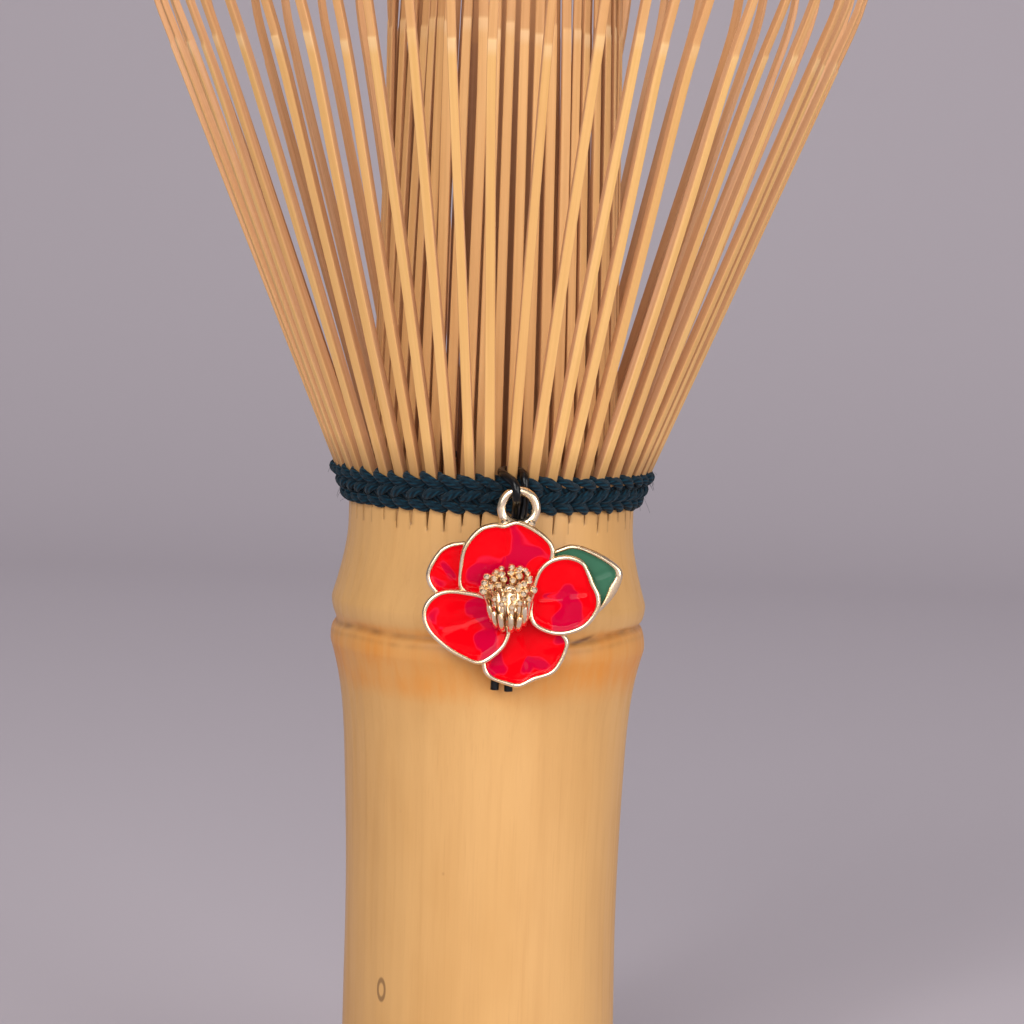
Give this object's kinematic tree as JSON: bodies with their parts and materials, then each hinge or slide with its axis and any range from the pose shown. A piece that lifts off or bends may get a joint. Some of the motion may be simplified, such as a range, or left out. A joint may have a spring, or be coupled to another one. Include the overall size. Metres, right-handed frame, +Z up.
{
  "type": "bamboo tea whisk",
  "caption": "Bamboo tea whisk: hollow culm handle with a node, flared outer tines round an upright inner ring, a dark thread binding, and a gold-rimmed enamel flower charm on a cord.",
  "frame": {"origin": "centre of the handle's cut base, on the surface it stands on", "axes": "+Z up along the culm towards the tine tips; -Y is the front, where the charm hangs"},
  "size_m": [0.0628, 0.0628, 0.1134],
  "materials": {
    "bamboo": "satin",
    "thread": "matte",
    "cord": "satin",
    "gold": "polished",
    "petal_enamel": "gloss",
    "leaf_enamel": "gloss"
  },
  "bodies": {
    "handle": {"handle": "bamboo", "outer_tine_roots": "bamboo", "inner_tine_roots": "bamboo", "binding_thread": "thread", "tie_cord": "cord"},
    "outer_tines_01": {"outer_tines_01": "bamboo"},
    "outer_tines_02": {"outer_tines_02": "bamboo"},
    "outer_tines_03": {"outer_tines_03": "bamboo"},
    "outer_tines_04": {"outer_tines_04": "bamboo"},
    "outer_tines_05": {"outer_tines_05": "bamboo"},
    "outer_tines_06": {"outer_tines_06": "bamboo"},
    "outer_tines_07": {"outer_tines_07": "bamboo"},
    "outer_tines_08": {"outer_tines_08": "bamboo"},
    "outer_tines_09": {"outer_tines_09": "bamboo"},
    "outer_tines_10": {"outer_tines_10": "bamboo"},
    "inner_tines_01": {"inner_tines_01": "bamboo"},
    "inner_tines_02": {"inner_tines_02": "bamboo"},
    "inner_tines_03": {"inner_tines_03": "bamboo"},
    "inner_tines_04": {"inner_tines_04": "bamboo"},
    "inner_tines_05": {"inner_tines_05": "bamboo"},
    "inner_tines_06": {"inner_tines_06": "bamboo"},
    "inner_tines_07": {"inner_tines_07": "bamboo"},
    "inner_tines_08": {"inner_tines_08": "bamboo"},
    "inner_tines_09": {"inner_tines_09": "bamboo"},
    "inner_tines_10": {"inner_tines_10": "bamboo"},
    "charm": {"charm_casting": "gold", "charm_stamens": "gold", "enamel_petal_left": "petal_enamel", "enamel_petal_bottom": "petal_enamel", "enamel_leaf": "leaf_enamel", "enamel_petal_top": "petal_enamel", "enamel_petal_lower_left": "petal_enamel", "enamel_petal_right": "petal_enamel"}
  },
  "joints": [
    {"name": "outer_flex_01", "type": "hinge", "parent": "handle", "child": "outer_tines_01", "pos_m": [0, -0.0134, 0.06], "axis": [1, 0, 0], "range_deg": [-5, 8], "stiffness_Nm_per_rad": 0.028},
    {"name": "outer_flex_02", "type": "hinge", "parent": "handle", "child": "outer_tines_02", "pos_m": [0.00788, -0.01084, 0.06], "axis": [0.809, 0.5878, 0], "range_deg": [-5, 8], "stiffness_Nm_per_rad": 0.028},
    {"name": "outer_flex_03", "type": "hinge", "parent": "handle", "child": "outer_tines_03", "pos_m": [0.01274, -0.00414, 0.06], "axis": [0.309, 0.9511, 0], "range_deg": [-5, 8], "stiffness_Nm_per_rad": 0.028},
    {"name": "outer_flex_04", "type": "hinge", "parent": "handle", "child": "outer_tines_04", "pos_m": [0.01274, 0.00414, 0.06], "axis": [-0.309, 0.9511, 0], "range_deg": [-5, 8], "stiffness_Nm_per_rad": 0.028},
    {"name": "outer_flex_05", "type": "hinge", "parent": "handle", "child": "outer_tines_05", "pos_m": [0.00788, 0.01084, 0.06], "axis": [-0.809, 0.5878, 0], "range_deg": [-5, 8], "stiffness_Nm_per_rad": 0.028},
    {"name": "outer_flex_06", "type": "hinge", "parent": "handle", "child": "outer_tines_06", "pos_m": [0, 0.0134, 0.06], "axis": [-1, 0, 0], "range_deg": [-5, 8], "stiffness_Nm_per_rad": 0.028},
    {"name": "outer_flex_07", "type": "hinge", "parent": "handle", "child": "outer_tines_07", "pos_m": [-0.00788, 0.01084, 0.06], "axis": [-0.809, -0.5878, 0], "range_deg": [-5, 8], "stiffness_Nm_per_rad": 0.028},
    {"name": "outer_flex_08", "type": "hinge", "parent": "handle", "child": "outer_tines_08", "pos_m": [-0.01274, 0.00414, 0.06], "axis": [-0.309, -0.9511, 0], "range_deg": [-5, 8], "stiffness_Nm_per_rad": 0.028},
    {"name": "outer_flex_09", "type": "hinge", "parent": "handle", "child": "outer_tines_09", "pos_m": [-0.01274, -0.00414, 0.06], "axis": [0.309, -0.9511, 0], "range_deg": [-5, 8], "stiffness_Nm_per_rad": 0.028},
    {"name": "outer_flex_10", "type": "hinge", "parent": "handle", "child": "outer_tines_10", "pos_m": [-0.00788, -0.01084, 0.06], "axis": [0.809, -0.5878, 0], "range_deg": [-5, 8], "stiffness_Nm_per_rad": 0.028},
    {"name": "inner_flex_01", "type": "hinge", "parent": "handle", "child": "inner_tines_01", "pos_m": [0, -0.0104, 0.06], "axis": [1, 0, 0], "range_deg": [-0.8, 6], "stiffness_Nm_per_rad": 0.015},
    {"name": "inner_flex_02", "type": "hinge", "parent": "handle", "child": "inner_tines_02", "pos_m": [0.00611, -0.00841, 0.06], "axis": [0.809, 0.5878, 0], "range_deg": [-0.8, 6], "stiffness_Nm_per_rad": 0.015},
    {"name": "inner_flex_03", "type": "hinge", "parent": "handle", "child": "inner_tines_03", "pos_m": [0.00989, -0.00321, 0.06], "axis": [0.309, 0.9511, 0], "range_deg": [-0.8, 6], "stiffness_Nm_per_rad": 0.015},
    {"name": "inner_flex_04", "type": "hinge", "parent": "handle", "child": "inner_tines_04", "pos_m": [0.00989, 0.00321, 0.06], "axis": [-0.309, 0.9511, 0], "range_deg": [-0.8, 6], "stiffness_Nm_per_rad": 0.015},
    {"name": "inner_flex_05", "type": "hinge", "parent": "handle", "child": "inner_tines_05", "pos_m": [0.00611, 0.00841, 0.06], "axis": [-0.809, 0.5878, 0], "range_deg": [-0.8, 6], "stiffness_Nm_per_rad": 0.015},
    {"name": "inner_flex_06", "type": "hinge", "parent": "handle", "child": "inner_tines_06", "pos_m": [0, 0.0104, 0.06], "axis": [-1, 0, 0], "range_deg": [-0.8, 6], "stiffness_Nm_per_rad": 0.015},
    {"name": "inner_flex_07", "type": "hinge", "parent": "handle", "child": "inner_tines_07", "pos_m": [-0.00611, 0.00841, 0.06], "axis": [-0.809, -0.5878, 0], "range_deg": [-0.8, 6], "stiffness_Nm_per_rad": 0.015},
    {"name": "inner_flex_08", "type": "hinge", "parent": "handle", "child": "inner_tines_08", "pos_m": [-0.00989, 0.00321, 0.06], "axis": [-0.309, -0.9511, 0], "range_deg": [-0.8, 6], "stiffness_Nm_per_rad": 0.015},
    {"name": "inner_flex_09", "type": "hinge", "parent": "handle", "child": "inner_tines_09", "pos_m": [-0.00989, -0.00321, 0.06], "axis": [0.309, -0.9511, 0], "range_deg": [-0.8, 6], "stiffness_Nm_per_rad": 0.015},
    {"name": "inner_flex_10", "type": "hinge", "parent": "handle", "child": "inner_tines_10", "pos_m": [-0.00611, -0.00841, 0.06], "axis": [0.809, -0.5878, 0], "range_deg": [-0.8, 6], "stiffness_Nm_per_rad": 0.015},
    {"name": "charm_lift", "type": "hinge", "parent": "handle", "child": "charm", "pos_m": [0.00235, -0.0151, 0.0592], "axis": [-1, 0, 0], "range_deg": [0, 110]}
  ]
}
